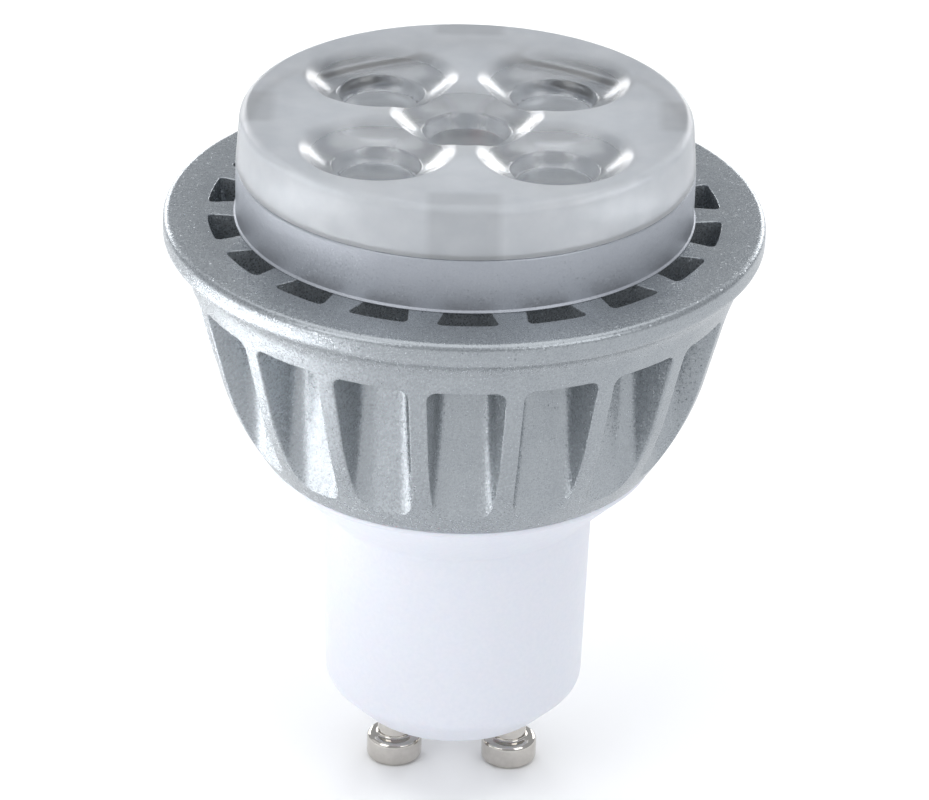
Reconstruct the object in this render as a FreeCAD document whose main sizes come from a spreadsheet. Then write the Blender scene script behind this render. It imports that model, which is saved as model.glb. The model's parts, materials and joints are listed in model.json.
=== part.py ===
"""GU10 spotlight bulb: a die-cast heat sink on a moulded cap, with five LEDs behind one lens plate.

The axis of the bulb is Z. The origin lies in the plane of the pin ends, the lens faces +Z, and the
two pins stand on the X axis. All lengths are millimetres and all angles are degrees.
"""
import FreeCAD, Part
import math
import os
import re

import Sketcher

# Driving dimensions, each written once. Heights add up from the pin ends to the lens.
SIZES = {
    # cap pins
    "pin_pitch": 10.0,
    "pin_length": 6.3,
    "pin_head_radius": 2.4,
    "pin_head_height": 2.3,
    "pin_head_round": 0.5,
    "pin_neck_radius": 1.45,
    "pin_shank_radius": 1.1,
    "rivet_radius": 1.9,
    "rivet_height": 0.6,
    # white cap body
    "base_height": 24.8,
    "base_end_radius": 11.0,
    "base_neck_radius": 11.45,
    "base_bevel": 2.7,
    "base_bevel_round": 1.6,
    "base_floor": 2.2,
    "base_wall": 1.5,
    "neck_height": 5.4,
    "neck_lift": 0.2,
    "shoulder_setback": 0.15,
    "shoulder_rim": 0.4,
    "sleeve_height": 13.5,
    "sleeve_wall": 1.2,
    "boss_radius": 2.3,
    "boss_height": 10.0,
    # heat sink
    "sink_height": 21.4,
    "sink_foot_radius": 16.65,
    "knee_radius": 21.0,
    "knee_height": 8.9,
    "flank_arc_radius": 29.0,
    "lip_reach": 1.8,
    "lip_root_depth": 4.0,
    "lip_thickness": 1.9,
    "lip_edge_round": 0.55,
    "foot_round": 0.3,
    "flange_radius": 25.0,
    "cavity_radius": 15.2,
    "plate_thickness": 3.9,
    "spigot_height": 0.9,
    "fin_count": 18,
    "fin_turn": 1.4,
    "fin_root": 2.55,
    "fin_tip": 0.4,
    "core_radius": 18.45,
    "window_depth": 5.4,
    "window_draft": 2.0,
    "window_floor_round": 1.1,
    "window_top_round": 0.9,
    "slot_outer_radius": 21.3,
    "slot_angle": 13.3,
    "slot_corner": 0.5,
    # lens ring and lens plate
    "ring_radius": 19.0,
    "ring_wall": 1.35,
    "ring_height": 4.6,
    "ring_edge": 0.2,
    "lens_height": 4.5,
    "lens_taper": 0.35,
    "lens_round": 0.8,
    "lens_plate_thickness": 2.3,
    "skirt_wall": 1.1,
    "skirt_depth": 1.3,
    "cup_spacing": 10.2,
    "cup_mouth_radius": 5.8,
    "cup_foot_radius": 3.4,
    "cup_foot_gap": 0.4,
    "well_radius": 3.4,
    "well_draft": 0.4,
    "well_depth": 1.5,
    "well_dome": 0.7,
    "led_pocket_radius": 2.6,
    "led_pocket_draft": 0.2,
    "led_pocket_depth": 2.3,
    "led_pocket_dome": 0.5,
    "foot_width": 6.4,
    "foot_thickness": 1.5,
    # LED board
    "pad_setback": 0.4,
    "pad_thickness": 0.3,
    "led_board_rim_gap": 1.05,
    "led_board_thickness": 1.5,
    "package_width": 3.0,
    "package_height": 0.65,
    "phosphor_radius": 1.2,
    "phosphor_depth": 0.3,
    # screws
    "screw_radius": 1.0,
    "screw_head_radius": 1.75,
    "screw_head_height": 1.2,
    "board_screw_inset": 5.45,
    "board_screw_grip": 2.4,
    "base_screw_offset": 12.2,
    "base_screw_length": 7.0,
    "counterbore_depth": 1.6,
    # driver board and what stands on it
    "driver_offset": 1.8,
    "driver_thickness": 1.2,
    "driver_width": 19.4,
    "driver_height": 32.5,
    "driver_lift": 2.0,
    "input_cap_radius": 4.0,
    "input_cap_height": 12.0,
    "input_cap_lift": 2.2,
    "output_cap_radius": 3.15,
    "output_cap_height": 9.0,
    "output_cap_lift": 20.5,
    "output_cap_shift": 5.2,
    "core_width": 12.0,
    "core_height": 11.0,
    "core_depth": 4.6,
    "core_leg": 1.9,
    "core_lift": 20.3,
    "winding_wall": 2.3,
    "rectifier_width": 4.7,
    "rectifier_height": 3.8,
    "rectifier_depth": 1.6,
    "rectifier_lift": 15.2,
    "chip_width": 5.0,
    "chip_height": 3.9,
    "chip_depth": 1.5,
    "chip_lift": 13.5,
    "chip_shift": 3.2,
    "fuse_radius": 1.3,
    "fuse_length": 6.5,
    "fuse_lift": 2.0,
    "fuse_shift": 5.0,
    "choke_radius": 2.5,
    "choke_height": 4.4,
    "choke_lift": 3.0,
    "choke_shift": 2.8,
    # leads
    "lead_radius": 0.45,
    "led_lead_gap": 1.3,
    "led_lead_offset": 6.2,
    "led_lead_start": 6.0,
    "led_lead_rise": 1.0,
    "led_lead_reach": 2.9,
    "led_lead_bend": 1.6,
    "led_lead_top_bend": 0.8,
    "mains_lead_radius": 0.5,
    "mains_lead_length": 4.4,
    # clearances
    "fit_gap": 0.05,
    "slide_gap": 0.15,
    "board_gap": 0.1,
    "hole_gap": 0.25,
    "wire_hole_radius": 2.3,
}

# Heights above the pin ends, as sums of the driving dimensions.
BASE_END = "pin_length"
FLOOR_TOP = "(pin_length + base_floor)"
SINK_FOOT = "(pin_length + base_height)"
NECK = "(pin_length + base_height - neck_height)"
FLANGE = "(pin_length + base_height + sink_height)"
SEAT = f"({FLANGE} + spigot_height)"
PLATE_UNDER = f"({SEAT} - plate_thickness)"
CEILING = f"({FLANGE} - window_depth)"
PAD_TOP = f"({SEAT} + pad_thickness)"
BOARD_TOP = f"({PAD_TOP} + led_board_thickness)"
LENS_FOOT = f"({FLANGE} + ring_height)"
LENS_TOP = f"({LENS_FOOT} + lens_height)"
LENS_UNDER = f"({LENS_TOP} - lens_plate_thickness)"
CUP_FOOT = f"({BOARD_TOP} + cup_foot_gap)"
DRIVER_FOOT = f"({FLOOR_TOP} + driver_lift)"
DRIVER_TOP = f"({DRIVER_FOOT} + driver_height)"
DRIVER_FRONT = "(driver_offset - driver_thickness / 2)"
DRIVER_BACK = "(driver_offset + driver_thickness / 2)"

# Radii and angles worked out from the driving dimensions.
SLEEVE_RADIUS = "(cavity_radius - slide_gap)"
SLEEVE_BORE = f"({SLEEVE_RADIUS} - sleeve_wall)"
SHELL_BORE = "(base_end_radius - base_wall)"
RING_BORE = "(ring_radius - ring_wall)"
SKIRT_RADIUS = f"({RING_BORE} - slide_gap)"
LED_BOARD_RADIUS = f"({RING_BORE} - led_board_rim_gap)"
PAD_RADIUS = f"({LED_BOARD_RADIUS} - pad_setback)"
BOARD_SCREW_OFFSET = f"({RING_BORE} - board_screw_inset)"
FLANK_TOP_RADIUS = "(flange_radius - lip_reach)"
FLANK_LEAN = f"atan(({FLANK_TOP_RADIUS} - knee_radius) / (sink_height - knee_height - lip_root_depth))"
LIP_DROP = "(lip_root_depth - lip_thickness)"
LIP_BLEND = f"(sqrt(lip_reach ^ 2 + {LIP_DROP} ^ 2) / 2 / sin(atan(lip_reach / {LIP_DROP}) - {FLANK_LEAN}))"
FIN_HALF_PITCH = "(180 / fin_count)"
SLOT_INNER_RADIUS = "(ring_radius - ring_edge)"
CUP_SIDE = "(cup_spacing / sqrt(2))"

DOC = FreeCAD.newDocument("gu10_spotlight_bulb")
NODES = []


def make_sheet():
    """Put every driving dimension into a spreadsheet cell that bears its name."""
    sheet = DOC.addObject("Spreadsheet::Sheet", "sizes")
    for row, (name, size) in enumerate(SIZES.items(), start=1):
        sheet.set(f"A{row}", name)
        sheet.set(f"B{row}", str(size))
        sheet.setAlias(f"B{row}", name)
    DOC.recompute()
    return sheet


SHEET = make_sheet()


def bound(expression):
    """Write an expression in plain size names as one that reads the spreadsheet."""
    return re.sub(r"[a-z]+(?:_[a-z]+)+", lambda word: "sizes." + word.group(0), str(expression))


def number(expression):
    """Work out an expression in plain size names."""
    return float(SHEET.evalExpression(bound(expression)))


def bind(item, **expressions):
    """Tie properties of an object to expressions in plain size names."""
    for name, expression in expressions.items():
        item.setExpression(name.replace("__", "."), bound(expression))


def finish(item, name):
    """Name a finished sub-part and add it to the list of nodes."""
    item.Label = name
    NODES.append(item)
    return item


def make_body(name):
    """Start a sub-part that is built up from sketched features."""
    return DOC.addObject("PartDesign::Body", name + "_body")


def origin(body, role):
    """Find one of a body's own origin planes or axes."""
    return next(item for item in body.Origin.OriginFeatures if item.Role == role)


def make_sketch(body, plane="XZ_Plane", x="0", height="0", turn="0"):
    """Start a sketch on an origin plane of the body, moved along its first axis and normal, and turned."""
    sketch = body.newObject("Sketcher::SketchObject", "sketch")
    sketch.AttachmentSupport = [(origin(body, plane), "")]
    sketch.MapMode = "FlatFace"
    bind(sketch, AttachmentOffset__Base__x=x, AttachmentOffset__Base__z=height)
    bind(sketch, AttachmentOffset__Rotation__Angle=turn)
    DOC.recompute()
    return sketch


def tie_point(sketch, geometry, position, corner):
    """Hold one end of a line or arc at a corner given as two expressions."""
    for kind, expression in zip(("DistanceX", "DistanceY"), corner):
        distance = Sketcher.Constraint(kind, -1, 1, geometry, position, number(expression))
        index = sketch.addConstraint(distance)
        sketch.setExpression(f"Constraints[{index}]", bound(expression))


def arc_between(start, end, radius):
    """Make the short arc between two points. A positive radius bulges to the right of the way."""
    middle = (start + end) * 0.5
    along = end - start
    across = FreeCAD.Vector(along.y, -along.x, 0).normalize()
    half = along.Length / 2
    height = abs(radius) - math.sqrt(radius * radius - half * half)
    bulge = middle + across * math.copysign(height, radius)
    return Part.Arc(start, bulge, end)


def draw_outline(sketch, corners, arcs=None):
    """Draw a closed outline through corners, each a pair of expressions.

    arcs maps the index of an edge to a sign and a radius. The sign is 1 where the edge bulges to the
    right of the way, and -1 where it bulges to the left.
    """
    arcs = arcs or {}
    points = [FreeCAD.Vector(number(x), number(y), 0) for x, y in corners]
    count = len(points)
    starts = []
    for index, start in enumerate(points):
        end = points[(index + 1) % count]
        if index not in arcs:
            starts.append((sketch.addGeometry(Part.LineSegment(start, end), False), 1, 2))
            continue
        sign, radius = arcs[index]
        geometry = sketch.addGeometry(arc_between(start, end, sign * number(radius)), False)
        first, last = (1, 2) if sign > 0 else (2, 1)
        limit = sketch.addConstraint(Sketcher.Constraint("Radius", geometry, number(radius)))
        sketch.setExpression(f"Constraints[{limit}]", bound(radius))
        starts.append((geometry, first, last))
    for index in range(count):
        geometry, _, last = starts[index]
        following, first, _ = starts[(index + 1) % count]
        sketch.addConstraint(Sketcher.Constraint("Coincident", geometry, last, following, first))
    for index, corner in enumerate(corners):
        geometry, first, _ = starts[index]
        tie_point(sketch, geometry, first, corner)
    DOC.recompute()


def draw_circle(sketch, x, y, radius):
    """Draw a circle whose centre and radius are expressions."""
    centre = FreeCAD.Vector(number(x), number(y), 0)
    circle = sketch.addGeometry(Part.Circle(centre, FreeCAD.Vector(0, 0, 1), number(radius)), False)
    tie_point(sketch, circle, 3, (x, y))
    limit = sketch.addConstraint(Sketcher.Constraint("Radius", circle, number(radius)))
    sketch.setExpression(f"Constraints[{limit}]", bound(radius))


def rectangle(x_low, x_high, y_low, y_high):
    """List the four corners of an upright rectangle."""
    return [(x_low, y_low), (x_high, y_low), (x_high, y_high), (x_low, y_high)]


def revolve(body, sketch, kind="Revolution"):
    """Turn a sketch once round its own upright axis, to add or to cut."""
    feature = body.newObject("PartDesign::" + kind, kind.lower())
    feature.Profile = sketch
    feature.ReferenceAxis = (sketch, ["V_Axis"])
    feature.Angle = 360
    DOC.recompute()
    return feature


def extrude(body, sketch, length, kind="Pad", reverse=False, taper="0"):
    """Pad or pocket a sketch by a length, with walls that spread by a taper, both given as expressions."""
    feature = body.newObject("PartDesign::" + kind, kind.lower())
    feature.Profile = sketch
    feature.Reversed = reverse
    bind(feature, Length=length, TaperAngle=taper)
    DOC.recompute()
    return feature


def repeat_round(body, feature, count):
    """Repeat a feature evenly round the axis of the bulb."""
    pattern = body.newObject("PartDesign::PolarPattern", "polar_pattern")
    pattern.Originals = [feature]
    pattern.Axis = (origin(body, "Z_Axis"), [""])
    pattern.Angle = 360
    bind(pattern, Occurrences=count)
    body.Tip = pattern
    DOC.recompute()
    return pattern


def round_edges(body, radius, wanted):
    """Fillet the edges of the body's last feature that a test picks out."""
    base = body.Tip
    names = [f"Edge{index}" for index, edge in enumerate(base.Shape.Edges, start=1) if wanted(edge)]
    fillet = body.newObject("PartDesign::Fillet", "fillet")
    fillet.Base = (base, names)
    bind(fillet, Radius=radius)
    DOC.recompute()
    return fillet


def is_circle(edge, radius, height):
    """Tell whether an edge is a circle about the axis at a radius and height."""
    curve = edge.Curve
    if not isinstance(curve, Part.Circle):
        return False
    return abs(curve.Radius - number(radius)) < 1e-4 and abs(curve.Center.z - number(height)) < 1e-4


def make_box(name, width, depth, height, corner):
    """Make a block from three expressions and its low corner."""
    box = DOC.addObject("Part::Box", name)
    x, y, z = corner
    bind(box, Length=width, Width=depth, Height=height)
    bind(box, Placement__Base__x=x, Placement__Base__y=y, Placement__Base__z=z)
    return box


def make_cylinder(name, radius, height, foot, turn=None):
    """Make a cylinder that stands on a point, upright unless it is turned."""
    cylinder = DOC.addObject("Part::Cylinder", name)
    if turn:
        cylinder.Placement.Rotation = turn
    x, y, z = foot
    bind(cylinder, Radius=radius, Height=height)
    bind(cylinder, Placement__Base__x=x, Placement__Base__y=y, Placement__Base__z=z)
    return cylinder


def join(kind, name, base, tool):
    """Fuse two shapes or cut one from the other."""
    result = DOC.addObject("Part::" + kind, name)
    result.Base = base
    result.Tool = tool
    return result


def make_pin(name, side):
    """Turn one bayonet pin: head, neck, and a shank riveted over inside the cap."""
    body = make_body(name)
    sketch = make_sketch(body)
    head_top = "pin_head_height"
    draw_outline(sketch, [
        ("0", "0"),
        ("pin_head_radius", "0"),
        ("pin_head_radius", head_top),
        ("pin_neck_radius", head_top),
        ("pin_neck_radius", BASE_END),
        ("pin_shank_radius", BASE_END),
        ("pin_shank_radius", FLOOR_TOP),
        ("rivet_radius", FLOOR_TOP),
        ("rivet_radius", f"{FLOOR_TOP} + rivet_height"),
        ("0", f"{FLOOR_TOP} + rivet_height"),
    ])
    revolve(body, sketch)
    round_edges(body, "pin_head_round", lambda edge: is_circle(edge, "pin_head_radius", "0")
                or is_circle(edge, "pin_head_radius", head_top))
    bind(body, Placement__Base__x=f"{side} * pin_pitch / 2")
    return finish(body, name)


def make_base_shell():
    """Mould the white cap body: bevelled end, drafted barrel, flared neck and a sleeve in the heat sink."""
    body = make_body("base_shell")
    sketch = make_sketch(body)
    shoulder = "sink_foot_radius - shoulder_setback"
    sleeve_top = f"{SINK_FOOT} + sleeve_height"
    inner_neck = f"{NECK} + neck_lift"
    draw_outline(sketch, [
        ("0", BASE_END),
        ("base_end_radius - base_bevel", BASE_END),
        ("base_end_radius", f"{BASE_END} + base_bevel"),
        ("base_neck_radius", NECK),
        (shoulder, f"{SINK_FOOT} - shoulder_rim"),
        (shoulder, SINK_FOOT),
        (SLEEVE_RADIUS, SINK_FOOT),
        (SLEEVE_RADIUS, sleeve_top),
        (SLEEVE_BORE, sleeve_top),
        (SLEEVE_BORE, f"{inner_neck} + {SLEEVE_BORE} - {SHELL_BORE}"),
        (SHELL_BORE, inner_neck),
        (SHELL_BORE, FLOOR_TOP),
        ("0", FLOOR_TOP),
    ])
    revolve(body, sketch)
    bevel_top = f"{BASE_END} + base_bevel"
    round_edges(body, "base_bevel_round", lambda edge: is_circle(edge, "base_end_radius", bevel_top))
    round_edges(body, "base_bevel_round / 2", lambda edge: is_circle(edge, "base_neck_radius", NECK)
                or is_circle(edge, "base_end_radius - base_bevel", BASE_END))

    boss_top = f"{PLATE_UNDER} - slide_gap"
    bosses = make_sketch(body, "XY_Plane", height=boss_top)
    for side in ("-1", "1"):
        draw_circle(bosses, "0", f"{side} * base_screw_offset", "boss_radius")
    extrude(body, bosses, "boss_height", reverse=True)

    pilots = make_sketch(body, "XY_Plane", height=boss_top)
    for side in ("-1", "1"):
        draw_circle(pilots, "0", f"{side} * base_screw_offset", "screw_radius + fit_gap")
    extrude(body, pilots, "base_screw_length", "Pocket")

    holes = make_sketch(body, "XY_Plane", height=FLOOR_TOP)
    for side in ("-1", "1"):
        draw_circle(holes, f"{side} * pin_pitch / 2", "0", "pin_shank_radius + fit_gap")
    extrude(body, holes, "base_floor", "Pocket")

    half = "driver_width / 2 + board_gap"
    groove = make_sketch(body, "XY_Plane", height=DRIVER_FOOT)
    draw_outline(groove, rectangle(f"-({half})", half,
                                   f"{DRIVER_FRONT} - board_gap", f"{DRIVER_BACK} + board_gap"))
    groove_height = f"{inner_neck} + {SLEEVE_BORE} - {SHELL_BORE} - {DRIVER_FOOT}"
    extrude(body, groove, groove_height, "Pocket", reverse=True)
    return finish(body, "base_shell")


def make_heat_sink():
    """Cast the heat sink: a turned cup with a flange, windows between its fins and vent slots above them."""
    body = make_body("heat_sink")
    sketch = make_sketch(body)
    lip_root = f"{FLANGE} - lip_root_depth"
    lip_under = f"{FLANGE} - lip_thickness"
    draw_outline(sketch, [
        ("cavity_radius", SINK_FOOT),
        ("sink_foot_radius", SINK_FOOT),
        ("knee_radius", f"{SINK_FOOT} + knee_height"),
        (FLANK_TOP_RADIUS, lip_root),
        ("flange_radius", lip_under),
        ("flange_radius", FLANGE),
        (f"{RING_BORE} - fit_gap", FLANGE),
        (f"{RING_BORE} - fit_gap", SEAT),
        ("0", SEAT),
        ("0", PLATE_UNDER),
        ("cavity_radius", PLATE_UNDER),
    ], {1: (1, "flank_arc_radius"), 3: (-1, LIP_BLEND)})
    revolve(body, sketch)
    round_edges(body, "lip_edge_round", lambda edge: is_circle(edge, "flange_radius", FLANGE)
                or is_circle(edge, "flange_radius", lip_under))
    round_edges(body, "foot_round", lambda edge: is_circle(edge, "sink_foot_radius", SINK_FOOT))
    cut_windows(body)
    cut_slots(body)
    drill_plate(body)
    return finish(body, "heat_sink")


def cut_windows(body):
    """Cut the windows between the fins: drafted prisms with a rounded floor and a rounded top.

    A fin is thicker at its root than at its tip, and each window takes up what two fins leave. Its walls
    slant by that taper, and an arc that touches the floor and the wall rounds each inner corner. Floor
    and walls spread downwards from the ceiling by the draft of the casting.
    """
    outer = "(flange_radius + lip_thickness)"
    root = f"(core_radius * tan({FIN_HALF_PITCH}) - fin_root / 2 / cos({FIN_HALF_PITCH}))"
    tip = f"({outer} * tan({FIN_HALF_PITCH}) - fin_tip / 2 / cos({FIN_HALF_PITCH}))"
    slant = f"atan(({tip} - {root}) / ({outer} - core_radius))"
    reach = f"(window_floor_round / tan(45 deg + {slant} / 2))"
    floor = f"({root} - {reach})"
    wall = f"({root} + {reach} * sin({slant}))"
    start = f"(core_radius + {reach} * cos({slant}))"
    window = make_sketch(body, "XY_Plane", height=CEILING, turn="fin_turn")
    draw_outline(window, [
        (floor, "-core_radius"),
        (wall, f"-{start}"),
        (tip, f"-{outer}"),
        (f"-{tip}", f"-{outer}"),
        (f"-{wall}", f"-{start}"),
        (f"-{floor}", "-core_radius"),
    ], {0: (-1, "window_floor_round"), 4: (-1, "window_floor_round")})
    pocket = extrude(body, window, f"{CEILING} - {SINK_FOOT}", "Pocket", taper="window_draft")
    repeat_round(body, pocket, "fin_count")

    ceiling = number(CEILING)
    inner = number("core_radius")

    def is_top_edge(edge):
        """Pick the edges round the top of each window, apart from its mouth."""
        box = edge.BoundBox
        if box.ZMin < ceiling - 1e-4 or box.ZMax > ceiling + 1e-4:
            return False
        return isinstance(edge.Curve, Part.Line) or edge.Curve.Radius < inner

    round_edges(body, "window_top_round", is_top_edge)


def cut_slots(body):
    """Cut the vent slots through the flange into the windows, with rounded outer corners."""
    half = "(slot_angle / 2)"
    turn = "(slot_corner / slot_outer_radius * 180 / pi)"
    shy = "(slot_outer_radius - slot_corner)"
    slot = make_sketch(body, "XY_Plane", height=FLANGE, turn="fin_turn")
    draw_outline(slot, [
        (f"{SLOT_INNER_RADIUS} * sin({half})", f"-{SLOT_INNER_RADIUS} * cos({half})"),
        (f"{shy} * sin({half})", f"-{shy} * cos({half})"),
        (f"slot_outer_radius * sin({half} - {turn})", f"-slot_outer_radius * cos({half} - {turn})"),
        (f"-slot_outer_radius * sin({half} - {turn})", f"-slot_outer_radius * cos({half} - {turn})"),
        (f"-{shy} * sin({half})", f"-{shy} * cos({half})"),
        (f"-{SLOT_INNER_RADIUS} * sin({half})", f"-{SLOT_INNER_RADIUS} * cos({half})"),
    ], {1: (-1, "slot_corner"), 2: (-1, "slot_outer_radius"), 3: (-1, "slot_corner")})
    pocket = extrude(body, slot, "window_depth + window_top_round", "Pocket")
    repeat_round(body, pocket, "fin_count")


def drill_plate(body):
    """Drill the plate for the lead pair, the board screws and the counterbored base screws."""
    through = make_sketch(body, "XY_Plane", height=SEAT)
    draw_circle(through, "0", "led_lead_offset", "wire_hole_radius")
    for side in ("-1", "1"):
        draw_circle(through, "0", f"{side} * base_screw_offset", "screw_radius + hole_gap")
    extrude(body, through, "plate_thickness", "Pocket")

    counterbore = make_sketch(body, "XY_Plane", height=SEAT)
    for side in ("-1", "1"):
        draw_circle(counterbore, "0", f"{side} * base_screw_offset", "screw_head_radius + hole_gap")
    extrude(body, counterbore, "counterbore_depth", "Pocket")

    tapped = make_sketch(body, "XY_Plane", height=SEAT)
    for side in ("-1", "1"):
        draw_circle(tapped, f"{side} * {BOARD_SCREW_OFFSET}", "0", "screw_radius + fit_gap")
    extrude(body, tapped, "board_screw_grip + fit_gap", "Pocket")


def make_lens_ring():
    """Turn the plain ring that stands on the flange, round the spigot of the heat sink."""
    body = make_body("lens_ring")
    sketch = make_sketch(body)
    draw_outline(sketch, rectangle(RING_BORE, "ring_radius", FLANGE, LENS_FOOT))
    revolve(body, sketch)
    round_edges(body, "ring_edge", lambda edge: is_circle(edge, "ring_radius", FLANGE)
                or is_circle(edge, "ring_radius", LENS_FOOT))
    return finish(body, "lens_ring")


def make_cup(body, side):
    """Add one collimator cone, as far along X as along Y."""
    sketch = make_sketch(body, x=side, height=f"-{side}")
    draw_outline(sketch, [
        ("0", CUP_FOOT),
        ("cup_foot_radius", CUP_FOOT),
        ("cup_mouth_radius", LENS_UNDER),
        ("cup_mouth_radius", f"{LENS_UNDER} + fit_gap"),
        ("0", f"{LENS_UNDER} + fit_gap"),
    ])
    return revolve(body, sketch)


def dome_radius(chord, height):
    """Give the radius of a dome from half its width and its height."""
    return f"(pow({chord}; 2) + pow({height}; 2)) / (2 * {height})"


def carve_cup(body, side):
    """Cut the domed well above and the LED pocket below one collimator, as far along X as along Y."""
    sketch = make_sketch(body, x=side, height=f"-{side}")
    well_foot = f"{LENS_TOP} - well_depth"
    well_bottom = "(well_radius - well_draft)"
    draw_outline(sketch, [
        ("0", LENS_TOP),
        ("0", f"{well_foot} + well_dome"),
        (well_bottom, well_foot),
        ("well_radius", LENS_TOP),
    ], {1: (-1, dome_radius(well_bottom, "well_dome"))})
    pocket_top = f"{CUP_FOOT} + led_pocket_depth"
    pocket_end = "(led_pocket_radius - led_pocket_draft)"
    draw_outline(sketch, [
        ("0", CUP_FOOT),
        ("led_pocket_radius", CUP_FOOT),
        (pocket_end, pocket_top),
        ("0", f"{pocket_top} - led_pocket_dome"),
    ], {2: (-1, dome_radius(pocket_end, "led_pocket_dome"))})
    return revolve(body, sketch, "Groove")


def make_lens_plate():
    """Mould the lens plate: a rimmed disc with a skirt, five collimators and four feet."""
    body = make_body("lens_plate")
    sketch = make_sketch(body)
    skirt_foot = f"{LENS_FOOT} - skirt_depth"
    draw_outline(sketch, [
        ("0", LENS_UNDER),
        (f"{SKIRT_RADIUS} - skirt_wall", LENS_UNDER),
        (f"{SKIRT_RADIUS} - skirt_wall", skirt_foot),
        (SKIRT_RADIUS, skirt_foot),
        (SKIRT_RADIUS, LENS_FOOT),
        ("ring_radius", LENS_FOOT),
        ("ring_radius - lens_taper", LENS_TOP),
        ("0", LENS_TOP),
    ])
    revolve(body, sketch)
    round_edges(body, "lens_round", lambda edge: is_circle(edge, "ring_radius - lens_taper", LENS_TOP))

    make_cup(body, "0")
    repeat_round(body, make_cup(body, CUP_SIDE), "4")

    foot_outer = f"{SKIRT_RADIUS} - skirt_wall / 2"
    foot = make_sketch(body, "XY_Plane", height=LENS_UNDER)
    draw_outline(foot, rectangle(f"{foot_outer} - foot_thickness", foot_outer,
                                 "-foot_width / 2", "foot_width / 2"))
    repeat_round(body, extrude(body, foot, f"{LENS_UNDER} - {BOARD_TOP}", reverse=True), "4")

    carve_cup(body, "0")
    repeat_round(body, carve_cup(body, CUP_SIDE), "4")
    return finish(body, "lens_plate")


def make_disc(name, radius, thickness, height):
    """Punch a flat disc with the lead hole and the board screw holes."""
    body = make_body(name)
    sketch = make_sketch(body, "XY_Plane", height=height)
    draw_circle(sketch, "0", "0", radius)
    draw_circle(sketch, "0", "led_lead_offset", "wire_hole_radius")
    for side in ("-1", "1"):
        draw_circle(sketch, f"{side} * {BOARD_SCREW_OFFSET}", "0", "screw_radius + hole_gap")
    extrude(body, sketch, thickness)
    return finish(body, name)


def make_led(index, x, y):
    """Make one LED: a pale package and the yellow phosphor that fills its round recess."""
    package = make_box(f"package_block_{index}", "package_width", "package_width", "package_height",
                       (f"{x} - package_width / 2", f"{y} - package_width / 2", BOARD_TOP))
    recess_floor = f"{BOARD_TOP} + package_height - phosphor_depth"
    foot = (x, y, recess_floor)
    recess = make_cylinder(f"package_recess_{index}", "phosphor_radius", "phosphor_depth", foot)
    finish(join("Cut", f"package_{index}", package, recess), f"led_package_{index}")
    phosphor = make_cylinder(f"phosphor_{index}", "phosphor_radius", "phosphor_depth", foot)
    finish(phosphor, f"led_phosphor_{index}")


def make_leds():
    """Place one LED under each collimator."""
    near = f"-{CUP_SIDE}"
    far = CUP_SIDE
    places = [("0", "0"), (near, near), (far, near), (far, far), (near, far)]
    for index, (x, y) in enumerate(places, start=1):
        make_led(index, x, y)


def make_screw_pair(name, place, seat, shank, normal):
    """Make two equal screws, mirrored across the axis, as one group of separate solids."""
    x, y = place
    head = make_cylinder(name + "_head", "screw_head_radius", "screw_head_height", (x, y, seat))
    stem = make_cylinder(name + "_stem", "screw_radius", shank, (x, y, f"{seat} - ({shank})"))
    screw = join("Fuse", name + "_one", head, stem)
    mirrored = DOC.addObject("Part::Mirroring", name + "_other")
    mirrored.Source = screw
    mirrored.Normal = normal
    pair = DOC.addObject("Part::Compound", name)
    pair.Links = [screw, mirrored]
    return finish(pair, name)


def make_driver_board():
    """Cut the driver board that slides into the grooves of the cap."""
    board = make_box("driver_plate", "driver_width", "driver_thickness", "driver_height",
                     ("-driver_width / 2", DRIVER_FRONT, DRIVER_FOOT))
    return finish(board, "driver_board")


def make_transformer():
    """Stand the transformer on the front of the driver board: a closed core round its winding."""
    middle = f"({DRIVER_FRONT} - winding_wall - core_depth / 2 - fit_gap)"
    low = f"({DRIVER_FOOT} + core_lift)"
    high = f"({low} + core_height)"
    core = make_body("transformer_core")
    frame = make_sketch(core, height=f"-{middle} - core_depth / 2")
    draw_outline(frame, rectangle("-core_width / 2", "core_width / 2", low, high))
    for side in ("-1", "1"):
        near = f"{side} * core_leg"
        far = f"{side} * (core_width / 2 - core_leg)"
        x_low, x_high = (far, near) if side == "-1" else (near, far)
        draw_outline(frame, rectangle(x_low, x_high, f"{low} + core_leg", f"{high} - core_leg"))
    extrude(core, frame, "core_depth")
    finish(core, "transformer_core")

    winding = make_body("transformer_winding")
    ring = make_sketch(winding, "XY_Plane", height=f"{low} + core_leg + fit_gap")
    outer = ("(core_width / 2 - core_leg - fit_gap)", "(core_depth / 2 + winding_wall + fit_gap)")
    inner = ("(core_leg + fit_gap)", "(core_depth / 2 + fit_gap)")
    for half_width, half_depth in (outer, inner):
        draw_outline(ring, rectangle(f"-{half_width}", half_width,
                                     f"{middle} - {half_depth}", f"{middle} + {half_depth}"))
    extrude(winding, ring, "core_height - 2 * core_leg - 2 * fit_gap")
    finish(winding, "transformer_winding")


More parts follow.
